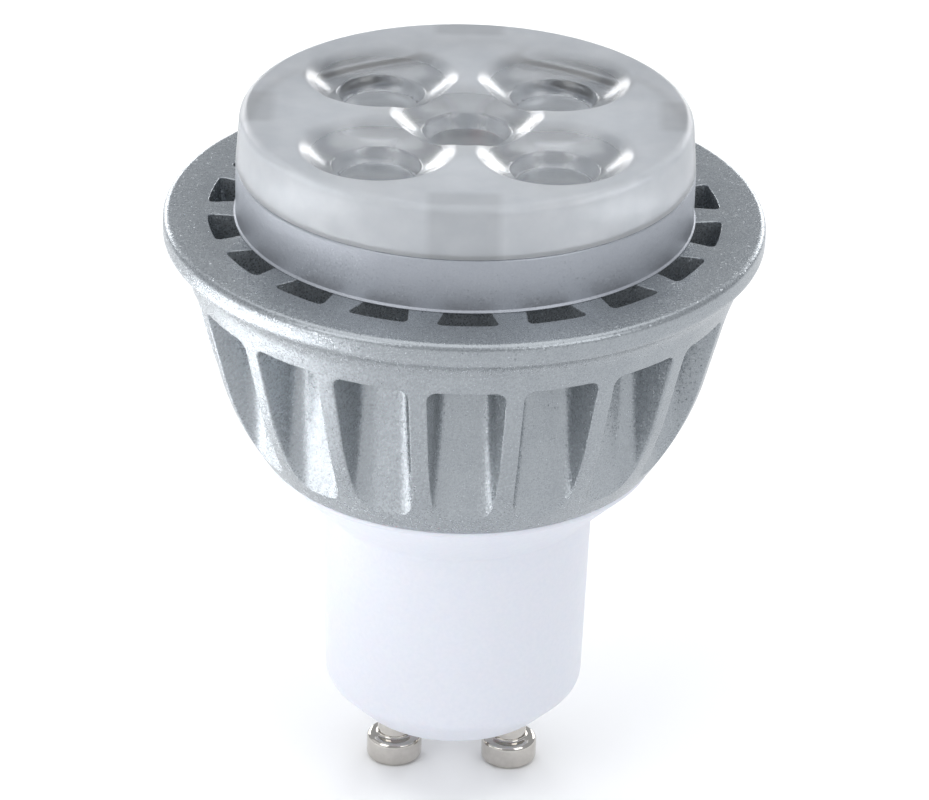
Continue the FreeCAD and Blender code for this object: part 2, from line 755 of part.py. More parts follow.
def make_components():
    """Place the other components on the two faces of the driver board."""
    front = f"{DRIVER_FRONT} - fit_gap"
    back = f"{DRIVER_BACK} + fit_gap"
    finish(make_cylinder("input_can", "input_cap_radius", "input_cap_height",
                         ("0", f"{front} - input_cap_radius", f"{DRIVER_FOOT} + input_cap_lift")),
           "input_capacitor")
    finish(make_cylinder("output_can", "output_cap_radius", "output_cap_height",
                         ("-output_cap_shift", f"{back} + output_cap_radius",
                          f"{DRIVER_FOOT} + output_cap_lift")),
           "output_capacitor")
    finish(make_box("rectifier_block", "rectifier_width", "rectifier_depth", "rectifier_height",
                    ("-rectifier_width / 2", f"{DRIVER_FRONT} - rectifier_depth",
                     f"{DRIVER_FOOT} + rectifier_lift")),
           "bridge_rectifier")
    finish(make_box("chip_block", "chip_width", "chip_depth", "chip_height",
                    ("chip_shift - chip_width / 2", DRIVER_BACK, f"{DRIVER_FOOT} + chip_lift")),
           "driver_chip")
    finish(make_cylinder("fuse_rod", "fuse_radius", "fuse_length",
                         ("fuse_shift", f"{back} + fuse_radius", f"{DRIVER_FOOT} + fuse_lift")),
           "fuse_resistor")
    lying = FreeCAD.Rotation(FreeCAD.Vector(1, 0, 0), -90)
    finish(make_cylinder("choke_drum", "choke_radius", "choke_height",
                         ("-choke_shift", DRIVER_BACK, f"{DRIVER_FOOT} + choke_lift + choke_radius"), lying),
           "choke")


def make_mains_lead(name, side):
    """Stand the stiff lead that joins one pin to the front of the driver board."""
    lead = make_cylinder(name + "_wire", "mains_lead_radius", "mains_lead_length",
                         (f"{side} * pin_pitch / 2", f"{DRIVER_FRONT} - mains_lead_radius - fit_gap",
                          f"{FLOOR_TOP} + rivet_height"))
    return finish(lead, name)


def rounded_path(points, radii):
    """Join points by straight runs, with a tangent arc of the given radius at each inner point."""
    edges = []
    last = points[0]
    for before, corner, after, radius in zip(points, points[1:], points[2:], radii):
        back = (before - corner).normalize()
        ahead = (after - corner).normalize()
        turn = math.pi - back.getAngle(ahead)
        reach = radius * math.tan(turn / 2)
        start = corner + back * reach
        end = corner + ahead * reach
        bisector = (back + ahead).normalize()
        middle = corner + bisector * (radius / math.cos(turn / 2) - radius)
        edges.append(Part.LineSegment(last, start).toShape())
        edges.append(Part.Arc(start, middle, end).toShape())
        last = end
    edges.append(Part.LineSegment(last, points[-1]).toShape())
    return Part.Wire(edges)


def make_led_lead(name, side):
    """Run one lead from the back of the driver board up through the plate and onto the LED board."""
    x = side * number("led_lead_gap") / 2
    low_y = number(f"{DRIVER_BACK} + lead_radius + fit_gap")
    high_y = number("led_lead_offset")
    start = number(f"{DRIVER_TOP} - led_lead_start")
    leave = number(f"{DRIVER_TOP} + led_lead_rise")
    rise = high_y - low_y
    top = number(f"{BOARD_TOP} + lead_radius + fit_gap")
    bend = number("led_lead_bend")
    points = [
        FreeCAD.Vector(x, low_y, start),
        FreeCAD.Vector(x, low_y, leave),
        FreeCAD.Vector(x, high_y, leave + rise),
        FreeCAD.Vector(x, high_y, top),
        FreeCAD.Vector(side * number("led_lead_reach"), high_y, top),
    ]
    path = rounded_path(points, [bend, bend, number("led_lead_top_bend")])
    section = Part.Wire(Part.makeCircle(number("lead_radius"), points[0], FreeCAD.Vector(0, 0, 1)))
    shape = path.makePipeShell([section], True, False)
    expected = math.pi * number("lead_radius") ** 2 * path.Length
    if abs(shape.Volume / expected - 1) > 0.01:
        raise ValueError(f"{name}: volume {shape.Volume:.3f} is not section times length {expected:.3f}")
    lead = DOC.addObject("Part::Feature", name + "_wire")
    lead.Shape = shape
    return finish(lead, name)


def write_parts():
    """Check every object and write each sub-part to its own file."""
    DOC.recompute()
    failed = [item.Name for item in DOC.Objects if {"Invalid", "Error"} & set(item.State)]
    if failed:
        raise ValueError("failed objects: " + ", ".join(failed))
    for node in NODES:
        if node.Shape.isNull() or not node.Shape.isValid():
            raise ValueError("bad shape: " + node.Label)
    os.makedirs("parts", exist_ok=True)
    for node in NODES:
        node.Shape.exportStep(f"parts/{node.Label}.step")
        print(f"{node.Label}: {len(node.Shape.Solids)} solid, {node.Shape.Volume:.1f} mm3")


make_heat_sink()
make_lens_ring()
make_lens_plate()
make_disc("thermal_pad", PAD_RADIUS, "pad_thickness", SEAT)
make_disc("led_board", LED_BOARD_RADIUS, "led_board_thickness", PAD_TOP)
make_leds()
make_screw_pair("board_screws", (BOARD_SCREW_OFFSET, "0"), BOARD_TOP,
                "led_board_thickness + pad_thickness + board_screw_grip", FreeCAD.Vector(1, 0, 0))
make_base_shell()
make_screw_pair("base_screws", ("0", "base_screw_offset"), f"({SEAT} - counterbore_depth)",
                "base_screw_length", FreeCAD.Vector(0, 1, 0))
make_pin("pin_left", "-1")
make_pin("pin_right", "1")
make_driver_board()
make_transformer()
make_components()
make_mains_lead("mains_lead_left", "-1")
make_mains_lead("mains_lead_right", "1")
make_led_lead("led_lead_positive", 1)
make_led_lead("led_lead_negative", -1)
write_parts()
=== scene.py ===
"""GU10 spotlight bulb: the looks of its pieces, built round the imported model.

Lengths are metres. The axis of the bulb is Z, the pin ends lie in the plane z = 0, the lens faces up
and the camera stands in front, on the side of -Y.
"""
import json
import logging
import math
from dataclasses import dataclass, field
from enum import Enum
from functools import cache

import bmesh
import bpy
import numpy as np
from mathutils import Matrix, Vector


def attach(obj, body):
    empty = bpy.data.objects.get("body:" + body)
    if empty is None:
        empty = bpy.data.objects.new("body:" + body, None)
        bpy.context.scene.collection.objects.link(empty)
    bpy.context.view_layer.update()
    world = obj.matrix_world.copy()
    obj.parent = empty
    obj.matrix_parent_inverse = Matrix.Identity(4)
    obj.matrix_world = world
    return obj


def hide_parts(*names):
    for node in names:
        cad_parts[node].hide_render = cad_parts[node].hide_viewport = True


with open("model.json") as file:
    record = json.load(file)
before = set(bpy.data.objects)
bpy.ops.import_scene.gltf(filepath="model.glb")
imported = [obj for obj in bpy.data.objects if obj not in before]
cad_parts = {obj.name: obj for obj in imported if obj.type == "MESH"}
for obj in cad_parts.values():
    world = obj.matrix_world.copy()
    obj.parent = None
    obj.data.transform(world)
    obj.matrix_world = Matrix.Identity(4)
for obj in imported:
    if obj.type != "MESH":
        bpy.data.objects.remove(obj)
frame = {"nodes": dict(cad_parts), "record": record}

LOG = logging.getLogger("gu10_spotlight_bulb")
MM = 0.001
WELD = 0.002 * MM  # Points nearer than this become one.
BODY = "root"
RESHAPED = ("heat_sink", "base_shell", "pin_left", "pin_right", "lens_ring", "lens_plate")

Colour = tuple[float, float, float]


def linear(red: int, green: int, blue: int) -> Colour:
    """Turn a screen colour of three bytes into linear light.

    Args:
        red: The red byte.
        green: The green byte.
        blue: The blue byte.

    Returns:
        The colour as three linear shares from 0 to 1.
    """
    shares = np.array([red, green, blue]) / 255
    light = np.where(shares <= 0.04045, shares / 12.92, ((shares + 0.055) / 1.055) ** 2.4)
    return tuple(float(share) for share in light)


# Surfaces

def even_steps(count: int) -> np.ndarray:
    """Give equal steps from 1 / count to 1."""
    return np.arange(1, count + 1) / count


def circle(columns: int) -> np.ndarray:
    """Give the angles of columns spread evenly round the axis."""
    return np.linspace(0, 2 * math.pi, columns, endpoint=False)


def ease(share: np.ndarray) -> np.ndarray:
    """Keep a share between 0 and 1 and level it off at both ends: 3 q^2 - 2 q^3."""
    q = np.clip(share, 0, 1)
    return q * q * (3 - 2 * q)


def arc(start: tuple[float, float], end: tuple[float, float], radius: float, steps: int = 16) -> np.ndarray:
    """Work out the short circular arc between two points of a profile.

    The centre lies on the upright bisector of the chord, and the points turn evenly about it. A positive
    radius bulges to the right of the way, a negative one to the left.

    Args:
        start: First point as radius and height.
        end: Last point as radius and height.
        radius: Radius of the arc, with its sign.
        steps: Number of equal turns.

    Returns:
        The points, both ends included.
    """
    first, last = np.array(start), np.array(end)
    chord = last - first
    half = np.linalg.norm(chord) / 2
    left = np.array([-chord[1], chord[0]]) / (2 * half)
    centre = (first + last) / 2 + left * math.copysign(math.sqrt(radius * radius - half * half), radius)
    sweep = math.copysign(2 * math.asin(half / abs(radius)), radius)
    turns = np.linspace(0, sweep, steps + 1)
    spoke = first - centre
    across = np.array([-spoke[1], spoke[0]])
    return centre + np.outer(np.cos(turns), spoke) + np.outer(np.sin(turns), across)


def round_corners(corners: np.ndarray, radii: np.ndarray, steps: int = 6) -> np.ndarray:
    """Round the inner corners of an open outline.

    Each corner gives way to the arc that touches its two runs: with half the corner's angle h, the arc
    starts at radius / tan(h) from the corner and its centre lies at radius / sin(h) on the bisector.

    Args:
        corners: The corners, one row each.
        radii: One radius for each inner corner.
        steps: Number of equal turns of each arc.

    Returns:
        The points of the rounded outline, both ends included.
    """
    corner = corners[1:-1]
    back = corners[:-2] - corner
    ahead = corners[2:] - corner
    back = back / np.linalg.norm(back, axis=1, keepdims=True)
    ahead = ahead / np.linalg.norm(ahead, axis=1, keepdims=True)
    half = np.arccos(np.clip((back * ahead).sum(axis=1), -1, 1)) / 2
    bisector = back + ahead
    bisector = bisector / np.linalg.norm(bisector, axis=1, keepdims=True)
    centre = corner + bisector * (radii / np.sin(half))[:, None]
    reach = (radii / np.tan(half))[:, None]
    first = corner + back * reach - centre
    last = corner + ahead * reach - centre
    sweep = (math.pi - 2 * half)[:, None]
    share = np.linspace(0, 1, steps + 1)[None, :]
    from_first = (np.sin((1 - share) * sweep) / np.sin(sweep))[:, :, None]
    from_last = (np.sin(share * sweep) / np.sin(sweep))[:, :, None]
    arcs = centre[:, None, :] + first[:, None, :] * from_first + last[:, None, :] * from_last
    return np.vstack([corners[:1], arcs.reshape(-1, 2), corners[-1:]])


def turn(profile: np.ndarray, angles: np.ndarray) -> np.ndarray:
    """Turn a profile about the axis: a point of radius r goes to (r sin a, r cos a) at each angle a.

    Args:
        profile: Rows of radius and height.
        angles: Angles from the middle of a window, in radians.

    Returns:
        A grid of points, one row for each point of the profile and one column for each angle.
    """
    radius = profile[:, :1]
    height = np.broadcast_to(profile[:, 1:], (len(profile), len(angles)))
    return np.stack([radius * np.sin(angles), radius * np.cos(angles), height], axis=-1)


def bend(first: np.ndarray, corner: np.ndarray, last: np.ndarray, share: np.ndarray) -> np.ndarray:
    """Round a corner by the parabola that touches both runs at the two given points.

    The point at share q is (1 - q)^2 first + 2 q (1 - q) corner + q^2 last.

    Args:
        first: Points where the rounding starts.
        corner: Points of the sharp corner.
        last: Points where the rounding ends.
        share: Values of q from 0 to 1.

    Returns:
        The points, with the shares along the last axis but one.
    """
    q = share[:, None]
    return ((1 - q) ** 2 * first[..., None, :] + 2 * q * (1 - q) * corner[..., None, :]
            + q ** 2 * last[..., None, :])


@dataclass
class Surface:
    """Grids of points that are welded into one mesh.

    Attributes:
        points: Blocks of points, one for each set of grids.
        quads: Blocks of four corner numbers.
        count: Number of points so far.
    """

    points: list[np.ndarray] = field(default_factory=list)
    quads: list[np.ndarray] = field(default_factory=list)
    count: int = 0

    def add(self, grids: np.ndarray, closed: bool = False) -> None:
        """Add grids of equal shape, with a face between each four neighbouring points.

        Args:
            grids: Points as an array whose last three axes are row, column and coordinate.
            closed: Whether the last column joins the first.
        """
        rows, columns = grids.shape[-3:-1]
        blocks = grids.reshape(-1, rows, columns, 3)
        index = np.arange(blocks[..., 0].size).reshape(blocks.shape[:-1]) + self.count
        if closed:
            index = np.concatenate([index, index[..., :1]], axis=-1)
        corners = (index[:, :-1, :-1], index[:, :-1, 1:], index[:, 1:, 1:], index[:, 1:, :-1])
        self.points.append(blocks.reshape(-1, 3))
        self.quads.append(np.stack(corners, axis=-1).reshape(-1, 4))
        self.count += blocks[..., 0].size

    def build(self, name: str, crease: float) -> bpy.types.Object:
        """Weld the grids, turn all faces outwards and shade them smoothly up to a crease angle.

        Args:
            name: Name of the object.
            crease: Angle in degrees past which an edge stays sharp.

        Returns:
            The object, at the origin.
        """
        points = np.concatenate(self.points)
        quads = np.concatenate(self.quads)
        mesh = bpy.data.meshes.new(name)
        mesh.vertices.add(len(points))
        mesh.vertices.foreach_set("co", points.ravel())
        mesh.loops.add(quads.size)
        mesh.loops.foreach_set("vertex_index", quads.ravel())
        mesh.polygons.add(len(quads))
        mesh.polygons.foreach_set("loop_start", np.arange(0, quads.size, 4))
        mesh.update(calc_edges=True)
        work = bmesh.new()
        work.from_mesh(mesh)
        bmesh.ops.remove_doubles(work, verts=work.verts, dist=WELD)
        bmesh.ops.recalc_face_normals(work, faces=work.faces)
        work.to_mesh(mesh)
        work.free()
        mesh.shade_smooth()
        mesh.set_sharp_from_angle(angle=math.radians(crease))
        piece = bpy.data.objects.new(name, mesh)
        bpy.context.collection.objects.link(piece)
        return piece


def turned_piece(name: str, grid: np.ndarray, crease: float = 30) -> bpy.types.Object:
    """Make an object of one grid that closes round its axis.

    Args:
        name: Name of the object.
        grid: A profile turned once round, from the axis to the axis or round a loop.
        crease: Angle in degrees past which an edge stays sharp.

    Returns:
        The object, at the origin.
    """
    surface = Surface()
    surface.add(grid, closed=True)
    return surface.build(name, crease)


# Finishes

@dataclass
class NodeGraph:
    """A material's nodes, with short ways to add and join them.

    Attributes:
        material: The material that owns the nodes.
        detail: Number of finer layers in a noise.
    """

    material: bpy.types.Material
    detail: float = 3.0

    @classmethod
    def start(cls, name: str) -> "NodeGraph":
        """Make an empty node material.

        Args:
            name: Name of the material.

        Returns:
            Its graph.
        """
        material = bpy.data.materials.new(name + "_finish")
        material.use_nodes = True
        material.node_tree.nodes.clear()
        return cls(material)

    def add(self, kind: str, sockets: dict[str, object] | None = None, **settings: object) -> bpy.types.Node:
        """Add a node, set it up and fill its sockets.

        Args:
            kind: The node's type without its prefix.
            sockets: A value for a socket, or the output socket that feeds it.
            settings: Values for the node's own properties.

        Returns:
            The node.
        """
        node = self.material.node_tree.nodes.new("ShaderNode" + kind)
        for name, setting in settings.items():
            setattr(node, name, setting)
        for name, value in (sockets or {}).items():
            target = node.inputs[name]
            if isinstance(value, bpy.types.NodeSocket):
                self.material.node_tree.links.new(value, target)
            else:
                target.default_value = value
        return node

    def reckon(self, operation: str, *terms: object) -> bpy.types.NodeSocket:
        """Reckon with numbers, or the sockets that feed them, and give the result."""
        return self.add("Math", dict(enumerate(terms)), operation=operation).outputs[0]

    def vector(self, operation: str, *terms: object) -> bpy.types.NodeSocket:
        """Reckon with vectors, or the sockets that feed them.

        Args:
            operation: Name of the operation.
            terms: Its vectors, or for SCALE a vector and its factor.

        Returns:
            The vector, or the number for a distance or a length.
        """
        names = (0, "Scale") if operation == "SCALE" else (0, 1)
        node = self.add("VectorMath", dict(zip(names, terms)), operation=operation)
        return node.outputs["Value" if operation in ("DISTANCE", "LENGTH") else "Vector"]

    def place(self) -> bpy.types.NodeSocket:
        """Give the place on the piece, in metres."""
        return self.add("TexCoord").outputs["Object"]

    def noise(self, size: float) -> bpy.types.NodeSocket:
        """Give a soft noise from about 0.3 to 0.7, with lumps of the given width."""
        node = self.add("TexNoise", {"Vector": self.place(), "Scale": 1 / size, "Detail": self.detail})
        return node.outputs["Fac"]

    def between(self, share: bpy.types.NodeSocket, low: float, high: float,
                span: tuple[float, float] = (0.3, 0.7)) -> bpy.types.NodeSocket:
        """Stretch a value, so that it is low at the start of its span and high at the end."""
        node = self.add("MapRange", {"Value": share, "From Min": span[0], "From Max": span[1],
                                     "To Min": low, "To Max": high})
        return node.outputs["Result"]

    def border(self, value: bpy.types.NodeSocket, place: float, half: float) -> bpy.types.NodeSocket:
        """Give a share that rises from 0 to 1 within half a width on either side of a border."""
        return self.between(value, 0, 1, (place - half, place + half))

    def relief(self, size: float, height: float) -> bpy.types.NodeSocket:
        """Give the normal of a surface with fine lumps of the given width and height."""
        lumps = {"Height": self.noise(size), "Distance": height, "Strength": 1.0}
        return self.add("Bump", lumps).outputs["Normal"]

    def tint(self, share: bpy.types.NodeSocket, low: Colour, high: Colour) -> bpy.types.NodeSocket:
        """Mix two colours by a value.

        Args:
            share: The value, from 0 to 1.
            low: Colour at 0.
            high: Colour at 1.

        Returns:
            The mixed colour.
        """
        node = self.add("Mix", {"Factor": share}, data_type="RGBA")
        node.inputs[6].default_value = (*low, 1)
        node.inputs[7].default_value = (*high, 1)
        return node.outputs[2]

    def close(self, shader: bpy.types.Node) -> bpy.types.Material:
        """Join the last shader to the output and give the finished material."""
        self.add("OutputMaterial", {"Surface": shader.outputs[0]})
        return self.material


@dataclass(frozen=True)
class Finish:
    """A moulded, coated or rolled surface with fine mottling and relief.

    Attributes:
        name: Name of the material.
        dark: Colour of the darker patches.
        light: Colour of the lighter patches.
        roughness: Lowest and highest roughness.
        grain: Width of the patches.
        relief: Height of the fine relief.
        metallic: 1 for bare metal, less for metal in paint, 0 for the rest.
        subsurface: Share of light that spreads under the surface.
    """

    name: str
    dark: Colour
    light: Colour
    roughness: tuple[float, float]
    grain: float = 0.4 * MM
    relief: float = 0.01 * MM
    metallic: float = 0.0
    subsurface: float = 0.0

    @cache
    def material(self) -> bpy.types.Material:
        """Give the material, made on first use."""
        return self.make()

    def make(self) -> bpy.types.Material:
        """Make the mottled material.

        Returns:
            The material.
        """
        graph = NodeGraph.start(self.name)
        patches = graph.between(graph.noise(self.grain), 0, 1)
        shader = graph.add("BsdfPrincipled", {
            "Base Color": graph.tint(patches, self.dark, self.light),
            "Roughness": graph.between(graph.noise(self.grain * 3), *self.roughness),
            "Metallic": self.metallic,
            "Normal": graph.relief(self.grain / 2, self.relief),
            "Subsurface Weight": self.subsurface,
            "Subsurface Scale": MM,
        })
        return graph.close(shader)


@dataclass(frozen=True)
class FlakePaint(Finish):
    """Silver paint in which small flat flakes lie at slightly different angles.

    Attributes:
        flake: Width of a flake.
        tilt: How far the most slanting flakes lean, as a share of the surface's normal.
        rarity: Power by which slanting flakes get rarer.
        cloud: How far wider patches shift the flakes' shade.
    """

    flake: float = 0.11 * MM
    tilt: float = 0.4
    rarity: float = 3.0
    cloud: float = 0.2

    def make(self) -> bpy.types.Material:
        """Make the paint: each cell of a cell pattern is one flake with its own lean and shade.

        A flake leans in a random direction, by tilt * chance^rarity.

        Returns:
            The material.
        """
        graph = NodeGraph.start(self.name)
        cells = graph.add("TexVoronoi", {"Vector": graph.place(), "Scale": 1 / self.flake}).outputs
        chance = graph.add("SeparateColor", {"Color": cells["Color"]}).outputs
        way = graph.add("TexWhiteNoise", {"Vector": cells["Position"]}).outputs["Color"]
        slant = graph.reckon("MULTIPLY", graph.reckon("POWER", chance["Green"], self.rarity), self.tilt)
        lean = graph.vector("SCALE", graph.vector("SUBTRACT", way, (0.5, 0.5, 0.5)), slant)
        face = graph.add("NewGeometry").outputs["Normal"]
        cloud = graph.between(graph.noise(self.grain), -self.cloud, self.cloud)
        shader = graph.add("BsdfPrincipled", {
            "Base Color": graph.tint(graph.reckon("ADD", chance["Red"], cloud), self.dark, self.light),
            "Roughness": graph.between(chance["Red"], *self.roughness, span=(0, 1)),
            "Metallic": self.metallic,
            "Normal": graph.vector("NORMALIZE", graph.vector("ADD", face, lean)),
        })
        return graph.close(shader)


@dataclass(frozen=True)
class LensMoulding(Finish):
    """Acrylic that is polished at the collimators and frosted between them.

    The roughness runs from the polished to the frosted value.

    Attributes:
        clearness: Share of light that passes where it is polished, and where it is frosted.
        index: Refractive index.
        cup_place: Distance of the outer collimators from the axis, along X and along Y.
        cup_radius: Radius of the polished circles.
        cup_edge: Half the width over which the frosting sets in.
        foot_place: Distance of the feet's inner sides from the axis.
        foot_half: Half the width of a foot.
        foot_edge: Half the width over which a foot's patch fades.
        foot_shade: Brightness of a foot's patch.
        gloss: Roughness of the reflection on the polished circles.
    """

    clearness: tuple[float, float] = (0.92, 0.55)
    index: float = 1.49
    cup_place: float = 7.2125 * MM
    cup_radius: float = 6.0 * MM
    cup_edge: float = 0.7 * MM
    foot_place: float = 15.9 * MM
    foot_half: float = 2.9 * MM
    foot_edge: float = 0.4 * MM
    foot_shade: float = 0.82
    gloss: float = 0.2

    def make(self) -> bpy.types.Material:
        """Make the moulding: the distance from the nearest collimator's axis decides on the frosting.

        The four feet show through as darker patches: there, of the distances along X and Y, the larger one is
        past the feet's place and the smaller one within half their width.

        Returns:
            The material.
        """
        graph = NodeGraph.start(self.name)
        folded = graph.vector("ABSOLUTE", graph.vector("MULTIPLY", graph.place(), (1, 1, 0)))
        outer = graph.vector("DISTANCE", folded, (self.cup_place, self.cup_place, 0))
        nearest = graph.reckon("MINIMUM", outer, graph.vector("LENGTH", folded))
        frosting = graph.border(nearest, self.cup_radius, self.cup_edge)
        sides = graph.add("SeparateXYZ", {"Vector": folded}).outputs
        far = graph.reckon("MAXIMUM", sides["X"], sides["Y"])
        near = graph.reckon("MINIMUM", sides["X"], sides["Y"])
        within = graph.reckon("SUBTRACT", 1, graph.border(near, self.foot_half, self.foot_edge))
        foot = graph.reckon("MULTIPLY", graph.border(far, self.foot_place, self.foot_edge), within)
        shade = graph.between(foot, 1, self.foot_shade, span=(0, 1))
        milk = graph.tint(graph.between(graph.noise(self.grain * 4), 0, 1), self.dark, self.light)
        shader = graph.add("BsdfPrincipled", {
            "Base Color": graph.vector("SCALE", milk, shade),
            "Roughness": graph.between(frosting, *self.roughness, span=(0, 1)),
            "Transmission Weight": graph.between(frosting, *self.clearness, span=(0, 1)),
            "IOR": self.index,
            "Normal": graph.relief(self.grain, self.relief),
            "Coat Weight": graph.between(frosting, 1, 0, span=(0, 1)),
            "Coat Roughness": self.gloss,
        })
        return graph.close(shader)


class Slot(Enum):
    """The record's material slots, each with its finish."""

    CAST_SILVER = FlakePaint("cast_silver", linear(148, 153, 158), linear(161, 166, 170), (0.24, 0.36),
                             grain=2.5 * MM, metallic=0.7, tilt=0.52)
    RING_SILVER = FlakePaint("ring_silver", linear(163, 167, 175), linear(170, 174, 181), (0.38, 0.48),
                             grain=2.5 * MM, metallic=0.5)
    CLEAR_ACRYLIC = LensMoulding("clear_acrylic", linear(211, 215, 220), linear(223, 226, 230), (0.26, 0.36),
                                 grain=0.6 * MM, relief=0.002 * MM)
    GREY_SILICONE = Finish("grey_silicone", linear(128, 130, 133), linear(150, 152, 154), (0.6, 0.75))
    WHITE_SOLDER_MASK = Finish("white_solder_mask", linear(224, 226, 226), linear(240, 241, 240), (0.3, 0.42),
                               grain=0.8 * MM)
    SCREW_STEEL = Finish("screw_steel", linear(150, 150, 148), linear(205, 205, 202), (0.2, 0.36),
                         grain=0.3 * MM, metallic=1.0)
    WHITE_POLYESTER = Finish("white_polyester", linear(217, 220, 229), linear(221, 223, 231), (0.34, 0.46),
                             grain=0.35 * MM, relief=0.003 * MM, subsurface=0.1)
    NICKEL_PLATE = Finish("nickel_plate", linear(195, 191, 185), linear(206, 202, 196), (0.05, 0.1),
                          grain=0.5 * MM, relief=0.001 * MM, metallic=1.0)
    GREEN_LAMINATE = Finish("green_laminate", linear(16, 84, 44), linear(34, 112, 62), (0.35, 0.5))
    FERRITE = Finish("ferrite", linear(38, 38, 42), linear(62, 62, 66), (0.5, 0.7))
    YELLOW_TAPE = Finish("yellow_tape", linear(214, 170, 32), linear(236, 196, 60), (0.25, 0.4))
    CAPACITOR_SLEEVE = Finish("capacitor_sleeve", linear(24, 28, 52), linear(40, 46, 76), (0.25, 0.4))
    BLACK_EPOXY = Finish("black_epoxy", linear(20, 20, 22), linear(38, 38, 40), (0.5, 0.7))
    RESISTOR_COAT = Finish("resistor_coat", linear(150, 178, 196), linear(178, 202, 216), (0.35, 0.5))
    BLACK_SLEEVE = Finish("black_sleeve", linear(18, 18, 20), linear(34, 34, 36), (0.4, 0.6))
    TINNED_WIRE = Finish("tinned_wire", linear(176, 178, 180), linear(212, 213, 214), (0.2, 0.35),
                         metallic=1.0)
    RED_INSULATION = Finish("red_insulation", linear(168, 22, 20), linear(196, 40, 36), (0.35, 0.5))
    BLACK_INSULATION = Finish("black_insulation", linear(20, 20, 22), linear(36, 36, 38), (0.35, 0.5))
    WHITE_PACKAGE = Finish("white_package", linear(228, 229, 226), linear(243, 243, 240), (0.3, 0.45))
    YELLOW_PHOSPHOR = Finish("yellow_phosphor", linear(226, 190, 52), linear(246, 220, 96), (0.3, 0.45))


def dress(piece: bpy.types.Object, slot: Slot, *nodes: str) -> None:
    """Give a new piece its finish and let it stand for its nodes.

    Args:
        piece: The new piece.
        slot: Its material slot.
        nodes: The nodes that it replaces.
    """
    piece.data.materials.append(slot.value.material())
    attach(piece, BODY)
    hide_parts(*nodes)
    LOG.info("%s: %d faces in %s", piece.name, len(piece.data.polygons), slot.name.lower())


# Sub-assemblies

